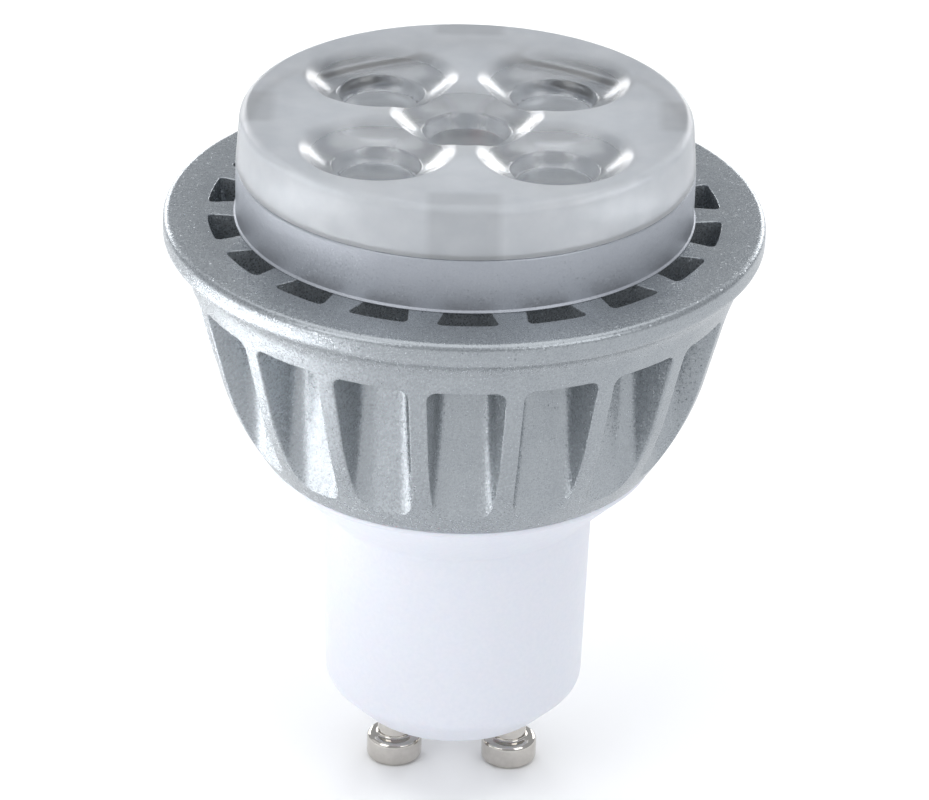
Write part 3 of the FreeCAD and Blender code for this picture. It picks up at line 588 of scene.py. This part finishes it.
@dataclass
class HeatSink:
    """The die casting: a flared cup with a flange, windows between its fins and vent slots above them.

    A half pitch, from the middle of a window to the middle of a fin, is worked out as grids that share
    their borders. Mirrored and repeated, they close round the axis. A point of it is given by u across
    the window, v outwards along its middle, and the height.
    """

    foot: float = 31.1 * MM
    foot_radius: float = 16.65 * MM
    foot_round: float = 0.3 * MM
    knee: float = 40.0 * MM
    knee_radius: float = 21.0 * MM
    flank_arc: float = 29.0 * MM
    lip_root: float = 48.5 * MM
    lip_root_radius: float = 23.2 * MM
    lip_under: float = 50.6 * MM
    lip_round: float = 0.55 * MM
    rim_radius: float = 25.0 * MM
    flange: float = 52.5 * MM
    seat: float = 53.4 * MM
    spigot_radius: float = 17.6 * MM
    collar_radius: float = 18.2 * MM
    shelf_radius: float = 22.6 * MM
    cavity_radius: float = 15.2 * MM
    plate_under: float = 49.5 * MM
    fin_count: int = 18
    fin_turn: float = math.radians(1.4)
    fin_root: float = 2.55 * MM
    fin_tip: float = 0.4 * MM
    tip_radius: float = 26.9 * MM
    core_radius: float = 18.45 * MM
    ceiling: float = 47.1 * MM
    draft: float = math.tan(math.radians(2))
    floor_round: float = 1.1 * MM
    side_round: float = 0.22 * MM
    mouth_round: float = 0.9 * MM
    edge_round: float = 0.16 * MM
    slot_edge: float = 0.1 * MM
    slot_radius: float = 21.3 * MM
    slot_half_angle: float = math.radians(6.65)
    slot_corner: float = 0.5 * MM
    floor_columns: int = 4
    corner_columns: int = 7
    side_columns: int = 7
    fin_columns: int = 6
    mouth_columns: int = 7
    edge_steps: int = 5
    flare_steps: int = 48
    toe_points: int = 6
    blend_steps: int = 14
    blend_cut: int = 4
    lip_points: int = 7
    rim_steps: int = 8
    toe_share: float = 0.09
    toe_rows: int = 5
    low_rows: int = 10
    wall_rows: int = 18
    ceiling_rows: int = 8
    slot_rows: int = 5
    search_rows: int = 400
    swell_start: float = 0.6
    edge_share: float = 0.45
    crease: float = 24

    def __post_init__(self) -> None:
        """Work out what the windows and the outside share."""
        half_pitch = math.pi / self.fin_count
        self.half_pitch = half_pitch
        self.root = self.core_radius * math.tan(half_pitch) - self.fin_root / 2 / math.cos(half_pitch)
        tip = self.tip_radius * math.tan(half_pitch) - self.fin_tip / 2 / math.cos(half_pitch)
        self.slant = math.atan((tip - self.root) / (self.tip_radius - self.core_radius))
        self.along = np.array([math.sin(self.slant), math.cos(self.slant)])
        self.inwards = np.array([-math.cos(self.slant), math.sin(self.slant)])
        self.reach = self.floor_round / math.tan(math.pi / 4 + self.slant / 2)
        self.wall_columns = self.side_columns + self.fin_columns
        self.flank = self.flank_profile()
        self.lip = self.lip_profile()

    def flank_profile(self) -> np.ndarray:
        """Draw the outside from the foot to the lip: a rounded foot, the flared arc and the straight flank.

        Returns:
            Rows of radius and height, rising.
        """
        flare = arc((self.foot_radius, self.foot), (self.knee_radius, self.knee), self.flank_arc,
                    self.flare_steps)
        corner = np.array([self.foot_radius, self.foot])
        start = corner - np.array([self.foot_round, 0])
        above = flare[:, 1] > self.foot + self.foot_round
        toe = bend(start, corner, flare[above][0], np.linspace(0, 1, self.toe_points))
        return np.vstack([toe, flare[above][1:], [[self.lip_root_radius, self.lip_root]]])

    def lip_profile(self) -> np.ndarray:
        """Draw the outside from the flank up and over the lip: concave blend, rounded side and flat top.

        The blend touches the flank: its radius is half its chord over the sine of the angle between the
        chord and the flank.

        Returns:
            Rows of radius and height, from the lip's root to the shelf by the slots.
        """
        root = np.array([self.lip_root_radius, self.lip_root])
        corner = np.array([self.rim_radius, self.lip_under])
        lean = np.arctan2(*(corner - root)) - np.arctan2(*(root - np.array([self.knee_radius, self.knee])))
        blend = arc(root, corner, -np.linalg.norm(corner - root) / 2 / math.sin(lean), self.blend_steps)
        above = corner + np.array([0, self.lip_round])
        under = bend(blend[-self.blend_cut], corner, above, np.linspace(0, 1, self.lip_points))
        rim = np.array([above, [self.rim_radius, self.flange], [self.shelf_radius, self.flange]])
        rim = round_corners(rim, np.array([self.lip_round]), self.rim_steps)
        return np.vstack([blend[:-self.blend_cut], under, rim[1:]])

    def radius_at(self, height: np.ndarray | float) -> np.ndarray | float:
        """Give the outside's radius at heights between the foot and the lip."""
        return np.interp(height, self.flank[:, 1], self.flank[:, 0])

    def on_outside(self, angle: np.ndarray, height: np.ndarray) -> np.ndarray:
        """Place points on the outside by their angle from the middle of the window and their height."""
        radius = self.radius_at(height)
        return np.stack([radius * np.sin(angle), radius * np.cos(angle), height], axis=-1)

    def inner_plan(self) -> tuple[np.ndarray, np.ndarray, np.ndarray]:
        """Lay out a window's floor and corner at the ceiling: a straight run, then an arc to the wall.

        Returns:
            The points, the directions into the metal, and the radius of the top rounding at each.
        """
        floor_end = self.root - self.reach
        across = np.linspace(0, floor_end, self.floor_columns, endpoint=False)
        floor = np.stack([across, np.full_like(across, self.core_radius)], axis=1)
        turns = np.linspace(-math.pi / 2, -self.slant, self.corner_columns)
        spokes = np.stack([np.cos(turns), np.sin(turns)], axis=1)
        corner = np.array([floor_end, self.core_radius + self.floor_round]) + self.floor_round * spokes
        outwards = np.vstack([np.tile([0.0, -1.0], (self.floor_columns, 1)), spokes])
        easing = np.linspace(0, 1, self.corner_columns)
        radii = np.concatenate([np.zeros(self.floor_columns), self.side_round * easing])
        return np.vstack([floor, corner]), outwards, radii

    def fade_heights(self, plan: np.ndarray, outwards: np.ndarray) -> np.ndarray:
        """Find where the columns of the window's floor and corner run out into the outside.

        Args:
            plan: The columns at the ceiling.
            outwards: Their directions into the metal, in which the draft spreads them downwards.

        Returns:
            For each column, the height at which its distance from the axis is the outside's radius.
        """
        height = np.linspace(self.foot, self.ceiling, self.search_rows)
        drafted = plan + outwards * (self.draft * (self.ceiling - height))[:, None, None]
        clear = self.radius_at(height)[:, None] - np.linalg.norm(drafted, axis=-1)
        above = np.argmax(clear > 0, axis=0)
        column = np.arange(len(plan))
        low, high = clear[above - 1, column], clear[above, column]
        return height[above - 1] + (height[above] - height[above - 1]) * low / (low - high)

    def wall_radii(self) -> np.ndarray:
        """Give the top rounding's radius at the wall's columns: small by the slot, full at the mouth."""
        swell = ease((even_steps(self.wall_columns) - self.swell_start) / (1 - self.swell_start))
        return self.side_round + (self.mouth_round - self.side_round) * swell

    def lower_grid(self) -> np.ndarray:
        """Work out the outside and the window below the ceiling.

        Up to the line where the window's floor leaves the outside, all columns lie on the outside. Above
        it, the floor, corner and wall rise to the rounding under the ceiling, whose rows move them inwards
        by radius * (1 - cos) and upwards by radius * sin. The draft moves each point into the metal by its
        depth below the ceiling times the draft. Where the wall meets the outside, a parabola rounds the
        edge.

        Returns:
            A grid with columns from the middle of the window to the middle of the fin.
        """
        plan, outwards, radii = self.inner_plan()
        fade = self.fade_heights(plan, outwards)
        faded = plan + outwards * (self.draft * (self.ceiling - fade))[:, None]
        angle = np.arctan2(faded[:, 0], faded[:, 1])
        low = np.concatenate([np.linspace(0, self.toe_share, self.toe_rows),
                              np.linspace(self.toe_share, 1, self.low_rows)[1:]])[:, None]
        rise = even_steps(self.wall_rows)[:, None]
        tilt = math.pi / 2 * even_steps(self.ceiling_rows)[:, None]
        upright = np.vstack([np.zeros_like(rise), tilt])

        # Below the line where the floor starts, on the outside.
        low_height = self.foot + low * (fade - self.foot)
        low_inner = self.on_outside(np.broadcast_to(angle, low_height.shape), low_height)
        low_edge = np.repeat(low_inner[:, -1:], self.wall_columns + self.edge_steps - 1, axis=1)
        fin_share = np.linspace(0, 1, self.fin_columns + 1)
        low_angle = angle[-1] + (self.half_pitch - angle[-1]) * fin_share
        low_angle = np.broadcast_to(low_angle, (len(low), len(fin_share)))
        low_fin = self.on_outside(low_angle, np.broadcast_to(low_height[:, -1:], low_angle.shape))

        # The floor and the corner above that line.
        inner_height = np.vstack([fade + rise * (self.ceiling - radii - fade),
                                  self.ceiling - radii * (1 - np.sin(tilt))])
        spread = self.draft * (self.ceiling - inner_height) - radii * (1 - np.cos(upright))
        inner = np.concatenate([plan + outwards * spread[..., None], inner_height[..., None]], axis=-1)

        # The wall, from the corner to the mouth.
        wall_radii = self.wall_radii()
        wall_height = np.vstack([fade[-1] + rise * (self.ceiling - wall_radii - fade[-1]),
                                 self.ceiling - wall_radii * (1 - np.sin(tilt))])
        inset = wall_radii * (1 - np.cos(upright)) - self.draft * (self.ceiling - wall_height)
        mouth_height = wall_height[:, -1]
        base = np.array([self.root, self.core_radius])
        origin = base + self.inwards * inset[:, -1:]
        nearest = origin @ self.along
        outside = self.radius_at(mouth_height)
        length = np.sqrt(nearest ** 2 - (origin ** 2).sum(axis=1) + outside ** 2) - nearest
        edge = np.minimum(self.edge_round, self.edge_share * np.maximum(length - self.reach, 0))
        run = self.reach + np.outer(length - edge - self.reach, even_steps(self.wall_columns))
        wall_plan = base + run[..., None] * self.along + inset[..., None] * self.inwards
        wall = np.concatenate([wall_plan, wall_height[..., None]], axis=-1)

        # The rounded edge of the mouth and the face of the fin.
        mouth = np.column_stack([origin + length[:, None] * self.along, mouth_height])
        bank = upright[:, 0]
        face_angle = np.arctan2(mouth[:, 0], mouth[:, 1]) + edge / outside * np.cos(bank)
        face_height = mouth_height + edge * np.sin(bank)
        face = self.on_outside(face_angle, face_height)
        rounding = bend(wall[:, -1], mouth, face, np.arange(1, self.edge_steps) / self.edge_steps)
        fin_angle = face_angle[:, None] + (self.half_pitch - face_angle)[:, None] * fin_share
        fin = self.on_outside(fin_angle, np.broadcast_to(face_height[:, None], fin_angle.shape))
        self.mouth_angle = float(face_angle[-1])

        below = np.concatenate([low_inner, low_edge, low_fin], axis=1)
        above = np.concatenate([inner, wall, rounding, fin], axis=1)
        return np.vstack([below, above])

    def mouth_grid(self) -> np.ndarray:
        """Work out the rounded upper edge of a window's mouth, by the same parabola as its sides.

        Returns:
            A grid with columns from the mouth's corner to its middle, from the ceiling to the outside.
        """
        share = np.arange(self.mouth_columns + 1) / self.mouth_columns
        angle = self.mouth_angle * (1 - share)
        corner = self.on_outside(angle, np.full_like(angle, self.ceiling))
        face = self.on_outside(angle, np.full_like(angle, self.ceiling + self.edge_round))
        back = -(1 - share)[:, None] * self.along - share[:, None] * np.array([0.0, 1.0])
        back = back / np.linalg.norm(back, axis=1, keepdims=True) * self.edge_round
        under = corner + np.column_stack([back, np.zeros_like(share)])
        steps = np.arange(self.edge_steps + 1) / self.edge_steps
        return bend(under, corner, face, steps).transpose(1, 0, 2)

    def slot_outline(self, rim: np.ndarray) -> np.ndarray:
        """Lay out half a vent slot in plan, with a point for each point round the window's ceiling.

        Its inner end is flush with the window's floor, its side lies on a radius, a parabola rounds the
        outer corner and the outer end is an arc about the axis.

        Args:
            rim: The points round the ceiling.

        Returns:
            The points of the slot as u and v.
        """
        inner_count = self.floor_columns + self.corner_columns
        lean = math.tan(self.slot_half_angle)
        inner = rim[:inner_count, :2]
        inner = np.column_stack([np.minimum(inner[:, 0], lean * inner[:, 1]), inner[:, 1]])
        across = np.array([math.sin(self.slot_half_angle), math.cos(self.slot_half_angle)])
        side_end = (self.slot_radius - self.slot_corner) * across
        side = inner[-1] + (side_end - inner[-1]) * even_steps(self.side_columns)[:, None]
        turn_back = self.slot_half_angle - self.slot_corner / self.slot_radius
        arc_start = self.slot_radius * np.array([math.sin(turn_back), math.cos(turn_back)])
        corner = bend(side_end, self.slot_radius * across, arc_start, even_steps(self.fin_columns))
        angle = turn_back * (1 - even_steps(self.mouth_columns))
        end = self.slot_radius * np.column_stack([np.sin(angle), np.cos(angle)])
        return np.vstack([inner, side, corner, end])

    def slot_grid(self, rim: np.ndarray) -> np.ndarray:
        """Work out the ceiling round a slot, the slot's wall with its rounded upper edge, and the flange.

        Args:
            rim: The points round the window's ceiling, from its floor to the middle of its mouth.

        Returns:
            A grid from the ceiling's rim through the slot to the edges of the half pitch.
        """
        outline = self.slot_outline(rim)
        along = np.gradient(outline, axis=0)
        outwards = np.column_stack([along[:, 1], -along[:, 0]])
        outwards = outwards / np.linalg.norm(outwards, axis=1, keepdims=True)
        outwards[[0, -1], 0] = 0
        tilt = np.linspace(0, math.pi / 2, self.slot_rows)[:, None, None]
        upper = outline + outwards * self.slot_edge * (1 - np.cos(tilt))
        height = np.broadcast_to(self.flange - self.slot_edge * (1 - np.sin(tilt)), upper.shape[:2] + (1,))
        wall = np.concatenate([upper, height], axis=-1)
        foot = np.column_stack([outline, np.full(len(outline), self.ceiling)])
        return np.vstack([rim[None], foot[None], wall, self.pitch_border()[None]])

    def pitch_border(self) -> np.ndarray:
        """Lay out the border of the half pitch on the flange: collar, middle of the fin, and shelf.

        Returns:
            Points in the order of the slot's outline.
        """
        collar = self.half_pitch * np.linspace(0, 1, self.floor_columns + self.corner_columns)
        side = even_steps(self.side_columns)
        angle = np.concatenate([collar, np.full(self.side_columns, self.half_pitch), self.lip_angles()[1:]])
        radius = np.concatenate([
            np.full(len(collar), self.collar_radius),
            self.collar_radius + (self.shelf_radius - self.collar_radius) * side,
            np.full(self.fin_columns + self.mouth_columns, self.shelf_radius),
        ])
        height = np.full(len(angle), self.flange)
        return np.column_stack([radius * np.sin(angle), radius * np.cos(angle), height])

    def lip_angles(self) -> np.ndarray:
        """Give the angles of the columns above a window, from the middle of the fin to that of the mouth."""
        fin = self.half_pitch + (self.mouth_angle - self.half_pitch) * np.linspace(0, 1, self.fin_columns + 1)
        return np.concatenate([fin, self.mouth_angle * (1 - even_steps(self.mouth_columns))])

    def half_pitch_grids(self) -> list[np.ndarray]:
        """Work out every grid of a half pitch.

        Returns:
            The grids, which share their borders.
        """
        lower = self.lower_grid()
        mouth = self.mouth_grid()
        inner_count = self.floor_columns + self.corner_columns + self.wall_columns
        rim = np.vstack([lower[-1, :inner_count], mouth[0, 1:]])
        brow = self.ceiling + self.edge_round
        upper = turn(np.vstack([[[self.radius_at(brow), brow]], self.lip]), self.lip_angles())
        foot_angles = np.arctan2(lower[0, :, 0], lower[0, :, 1])
        cavity = np.array([[self.foot_radius - self.foot_round, self.foot], [self.cavity_radius, self.foot],
                           [self.cavity_radius, self.plate_under], [0, self.plate_under]])
        collar_angles = self.half_pitch * np.linspace(0, 1, self.floor_columns + self.corner_columns)
        spigot = np.array([[self.collar_radius, self.flange], [self.spigot_radius, self.flange],
                           [self.spigot_radius, self.seat], [0, self.seat]])
        inside = [turn(cavity, foot_angles), turn(spigot, collar_angles)]
        return [lower, mouth, upper, *inside, self.slot_grid(rim)]

    def build(self) -> None:
        """Mirror and repeat the half pitch round the axis, weld it and dress it."""
        turns = self.fin_turn + 2 * self.half_pitch * np.arange(self.fin_count)[:, None, None]
        surface = Surface()
        for grid in self.half_pitch_grids():
            for side in (1, -1):
                u, v, height = side * grid[..., 0], grid[..., 1], grid[..., 2]
                x = u * np.cos(turns) + v * np.sin(turns)
                y = u * np.sin(turns) - v * np.cos(turns)
                surface.add(np.stack([x, y, np.broadcast_to(height, x.shape)], axis=-1))
        dress(surface.build("heat_sink_casting", self.crease), Slot.CAST_SILVER, "heat_sink")


@dataclass
class Cap:
    """The white cap body and its two bayonet pins."""

    end: float = 6.3 * MM
    end_radius: float = 11.0 * MM
    bevel: float = 2.7 * MM
    neck: float = 25.7 * MM
    neck_radius: float = 11.45 * MM
    shoulder: float = 31.1 * MM
    shoulder_radius: float = 16.5 * MM
    shoulder_rim: float = 0.4 * MM
    sleeve_radius: float = 15.05 * MM
    sleeve_top: float = 44.6 * MM
    sleeve_bore: float = 13.85 * MM
    floor_top: float = 8.5 * MM
    bore: float = 9.5 * MM
    end_round: float = 0.9 * MM
    bevel_round: float = 1.6 * MM
    neck_round: float = 0.8 * MM
    rim_round: float = 0.15 * MM
    seat_round: float = 0.1 * MM
    sleeve_round: float = 0.2 * MM
    bore_round: float = 0.5 * MM
    shell_columns: int = 192
    pin_spacing: float = 10.0 * MM
    pin_head_radius: float = 2.4 * MM
    pin_head_height: float = 2.3 * MM
    pin_head_round: float = 0.5 * MM
    pin_neck_radius: float = 1.45 * MM
    pin_neck_round: float = 0.2 * MM
    pin_end_round: float = 0.05 * MM
    pin_steps: int = 8
    pin_columns: int = 72

    def build_shell(self) -> None:
        """Turn the shell: flat end, bevel, drafted barrel, flared neck, and the sleeve and bore inside."""
        flare = self.sleeve_bore - self.bore
        corners = np.array([
            [0, self.end],
            [self.end_radius - self.bevel, self.end],
            [self.end_radius, self.end + self.bevel],
            [self.neck_radius, self.neck],
            [self.shoulder_radius, self.shoulder - self.shoulder_rim],
            [self.shoulder_radius, self.shoulder],
            [self.sleeve_radius, self.shoulder],
            [self.sleeve_radius, self.sleeve_top],
            [self.sleeve_bore, self.sleeve_top],
            [self.sleeve_bore, self.neck + flare],
            [self.bore, self.neck],
            [self.bore, self.floor_top],
            [0, self.floor_top],
        ])
        radii = np.array([self.end_round, self.bevel_round, self.neck_round, self.rim_round]
                         + [self.seat_round] * 2 + [self.sleeve_round] * 2 + [self.bore_round] * 3)
        grid = turn(round_corners(corners, radii), circle(self.shell_columns))
        dress(turned_piece("cap_shell", grid), Slot.WHITE_POLYESTER, "base_shell")

    def build_pin(self, name: str, side: int) -> None:
        """Turn one pin: rounded head, neck, and a shank that ends inside the floor of the cap.

        Args:
            name: Name of the node that it replaces.
            side: -1 for the left pin, 1 for the right one.
        """
        corners = np.array([
            [0, 0],
            [self.pin_head_radius, 0],
            [self.pin_head_radius, self.pin_head_height],
            [self.pin_neck_radius, self.pin_head_height],
            [self.pin_neck_radius, self.floor_top],
            [0, self.floor_top],
        ])
        radii = np.array([self.pin_head_round, self.pin_head_round, self.pin_neck_round, self.pin_end_round])
        grid = turn(round_corners(corners, radii, self.pin_steps), circle(self.pin_columns))
        grid[..., 0] += side * self.pin_spacing / 2
        dress(turned_piece(name + "_turned", grid), Slot.NICKEL_PLATE, name)


@dataclass
class LensHead:
    """The ring on the flange and the lens plate that it carries."""

    flange: float = 52.5 * MM
    ring_top: float = 57.1 * MM
    ring_radius: float = 19.0 * MM
    ring_wall: float = 1.35 * MM
    ring_edge: float = 0.24 * MM
    ring_foot: float = 0.22 * MM
    foot_blend: float = 0.096 * MM
    ring_break: float = 0.048 * MM
    ring_columns: int = 256
    lens_top: float = 61.6 * MM
    lens_under: float = 56.5 * MM
    lens_radius: float = 18.65 * MM
    lens_round: float = 0.8 * MM
    lens_border: float = 1.2 * MM
    lens_break: float = 0.1 * MM
    lens_crease: float = 50
    skirt_radius: float = 17.5 * MM
    skirt_round: float = 0.3 * MM
    cup_place: float = 7.2125 * MM
    bowl_radius: float = 6.3 * MM
    bowl_depth: float = 1.7 * MM
    bowl_bulge: float = 0.6
    mouth_ease: float = 0.16
    well_radius: float = 3.7 * MM
    well_edge: float = 0.6 * MM
    well_depth: float = 1.3 * MM
    well_dome: float = 0.3 * MM
    top_rows: int = 150
    lens_columns: int = 480

    def build_ring(self) -> None:
        """Turn the ring: a plain wall with a rounded upper edge and a small slanting foot on the flange."""
        bore = self.ring_radius - self.ring_wall
        middle = (self.flange + self.ring_top) / 2
        corners = np.array([
            [bore, middle],
            [bore, self.flange],
            [self.ring_radius + self.ring_foot, self.flange],
            [self.ring_radius, self.flange + self.ring_foot],
            [self.ring_radius, self.ring_top],
            [bore, self.ring_top],
            [bore, middle],
        ])
        radii = np.array([self.ring_break, self.ring_break, self.foot_blend, self.ring_edge, self.ring_break])
        grid = turn(round_corners(corners, radii), circle(self.ring_columns))
        dress(turned_piece("lens_ring_turned", grid), Slot.RING_SILVER, "lens_ring")

    def build_lens(self) -> None:
        """Turn the lens plate, with a flat top and a skirt in the ring, and sink the five cups into it."""
        flat = self.lens_radius - self.lens_border
        top = np.column_stack([np.linspace(0, flat, self.top_rows), np.full(self.top_rows, self.lens_top)])
        corners = np.array([
            [flat, self.lens_top],
            [self.lens_radius, self.lens_top],
            [self.ring_radius, self.ring_top],
            [self.skirt_radius, self.ring_top],
            [self.skirt_radius, self.lens_under],
            [0, self.lens_under],
        ])
        radii = np.array([self.lens_round, self.lens_break, self.lens_break, self.skirt_round])
        profile = np.vstack([top, round_corners(corners, radii)[1:]])
        grid = turn(profile, circle(self.lens_columns))
        grid[:self.top_rows, :, 2] -= self.cup_depth(grid[:self.top_rows])
        dress(turned_piece("lens_plate_moulding", grid, self.lens_crease), Slot.CLEAR_ACRYLIC, "lens_plate")

    def cup_depth(self, points: np.ndarray) -> np.ndarray:
        """Work out how deep the five cups are at points of the top.

        With q the distance from the nearest cup's axis, the bowl falls from its mouth along a parabola, and
        inside it the well falls along a cubic step to a domed bottom.

        Args:
            points: The points.

        Returns:
            Their depths.
        """
        x, y = np.abs(points[..., 0]), np.abs(points[..., 1])
        q = np.minimum(np.hypot(x, y), np.hypot(x - self.cup_place, y - self.cup_place))
        inside = (self.bowl_radius - q) / (self.bowl_radius - self.well_radius)
        bowl = np.minimum((inside + np.hypot(inside, self.mouth_ease)) / 2, 1)
        bowl = bowl * (1 + self.bowl_bulge * (1 - bowl))
        well = ease((self.well_radius - q) / self.well_edge)
        dome = np.clip(1 - (q / (self.well_radius - self.well_edge)) ** 2, 0, 1)
        return self.bowl_depth * bowl + self.well_depth * well - self.well_dome * dome


@dataclass
class Inside:
    """The nodes that keep their solids: the LED board, the driver and their fittings.

    Attributes:
        left_out: Nodes that have surfaces of their own here.
    """

    left_out: tuple[str, ...] = RESHAPED

    def dress(self) -> None:
        """Give each remaining node the finish of its material slot."""
        slots = {part["node"]: part["material_slot"] for part in frame["record"]["subparts"]}
        for name, node in frame["nodes"].items():
            if name in self.left_out:
                continue
            finish = Slot[slots[name].upper()].value
            node.data.materials.clear()
            node.data.materials.append(finish.material())
            LOG.info("%s: %s", name, finish.name)


# Studio

@dataclass
class Studio:
    """The pale floor, the soft lights and the camera.

    The camera's place comes from the pin ends, the flange and the lens in the photograph.
    """

    image_width: int = 929
    sensor: float = 36.0
    focal_pixels: float = 5266.6
    distance: float = 444.58 * MM
    elevation: float = 0.47581
    roll: float = 0.02529
    aim_height: float = 35.0 * MM
    slide: tuple[float, float] = (-0.38463 * MM, 0.07369 * MM)
    clip: tuple[float, float] = (10 * MM, 20.0)
    floor_size: float = 6.0
    floor_gap: float = 0.01 * MM
    floor_shade: float = 0.95
    floor_roughness: float = 0.9
    floor_gloss: float = 0.1
    sky: Colour = (0.93, 0.96, 1.0)
    sky_strength: float = 0.5

    def build_camera(self) -> None:
        """Place the camera: it looks at the axis from the front, from above, and is rolled slightly."""
        cos, sin = math.cos(self.elevation), math.sin(self.elevation)
        axes = Matrix(((1, 0, 0), (0, sin, -cos), (0, cos, sin))).to_4x4()
        data = bpy.data.cameras.new("camera")
        data.sensor_width = self.sensor
        data.lens = self.focal_pixels / self.image_width * self.sensor
        data.clip_start, data.clip_end = self.clip
        camera = bpy.data.objects.new("camera", data)
        place = Vector((-self.slide[0], -self.distance * cos - self.slide[1] * sin,
                        self.aim_height + self.distance * sin - self.slide[1] * cos))
        camera.matrix_world = Matrix.Translation(place) @ axes @ Matrix.Rotation(self.roll, 4, "Z")
        bpy.context.collection.objects.link(camera)
        bpy.context.scene.camera = camera

    def build_floor(self) -> None:
        """Lay the plain pale floor just under the pins."""
        half = self.floor_size / 2
        mesh = bpy.data.meshes.new("floor")
        low = -self.floor_gap
        corners = [(-half, -half, low), (half, -half, low), (half, half, low), (-half, half, low)]
        mesh.from_pydata(corners, [], [(0, 1, 2, 3)])
        floor = bpy.data.objects.new("floor", mesh)
        bpy.context.collection.objects.link(floor)
        graph = NodeGraph.start("pale_floor")
        shader = graph.add("BsdfPrincipled", {
            "Base Color": (self.floor_shade, self.floor_shade, self.floor_shade, 1),
            "Roughness": self.floor_roughness,
            "Specular IOR Level": self.floor_gloss,
        })
        mesh.materials.append(graph.close(shader))

    def add_light(self, name: str, place: tuple[float, float, float], size: tuple[float, float], power: float,
                  aim: tuple[float, float, float] = (0, 0, 0.04), spread: float = 180) -> None:
        """Hang one soft panel of light.

        Args:
            name: Name of the light.
            place: The middle of the panel.
            size: Its width and height.
            power: Its power in watts.
            aim: The point that it faces, by default the middle of the bulb.
            spread: Angle in degrees within which it shines.
        """
        data = bpy.data.lights.new(name, "AREA")
        data.shape = "RECTANGLE"
        data.spread = math.radians(spread)
        data.size, data.size_y = size
        data.energy = power
        light = bpy.data.objects.new(name, data)
        facing = Vector(aim) - Vector(place)
        light.matrix_world = (Matrix.Translation(place)
                              @ facing.to_track_quat("-Z", "Y").to_matrix().to_4x4())
        bpy.context.collection.objects.link(light)

    def build_lights(self) -> None:
        """Set the pale surroundings and hang the lights.

        The key and a bright patch on the floor make the paint sparkle at the left, the top and front panels
        light the silver, and the low back panels show as white crescents in the lens.
        """
        world = bpy.data.worlds.new("studio")
        world.use_nodes = True
        background = world.node_tree.nodes["Background"]
        background.inputs["Color"].default_value = (*self.sky, 1)
        background.inputs["Strength"].default_value = self.sky_strength
        scene = bpy.context.scene
        scene.world = world
        scene.view_settings.view_transform = "Standard"
        scene.view_settings.look = "None"
        self.add_light("key_left", (-0.09, -0.03, 0.042), (0.13, 0.08), 0.012)
        self.add_light("floor_left", (-0.1, -0.02, 0.06), (0.07, 0.105), 0.105, (-0.1, -0.02, 0.0), 64)
        self.add_light("top", (0.0, 0.05, 0.7), (0.9, 0.9), 3.2)
        for name, side in (("left", -1), ("right", 1)):
            self.add_light("front_" + name, (side * 0.42, -0.42, 0.42), (0.4, 0.4), 1.1)
            self.add_light("back_" + name, (side * 0.24, 0.44, 0.14), (0.26, 0.17), 0.62)

    def build(self) -> None:
        """Set up the floor, the lights and the camera."""
        self.build_floor()
        self.build_lights()
        self.build_camera()


def main() -> None:
    """Build and dress every piece in order, then the studio."""
    logging.basicConfig(level=logging.INFO, format="%(message)s")
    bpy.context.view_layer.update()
    cap = Cap()
    head = LensHead()
    HeatSink().build()
    cap.build_shell()
    cap.build_pin("pin_left", -1)
    cap.build_pin("pin_right", 1)
    head.build_ring()
    head.build_lens()
    Inside().dress()
    Studio().build()


if __name__ == "__main__":
    main()
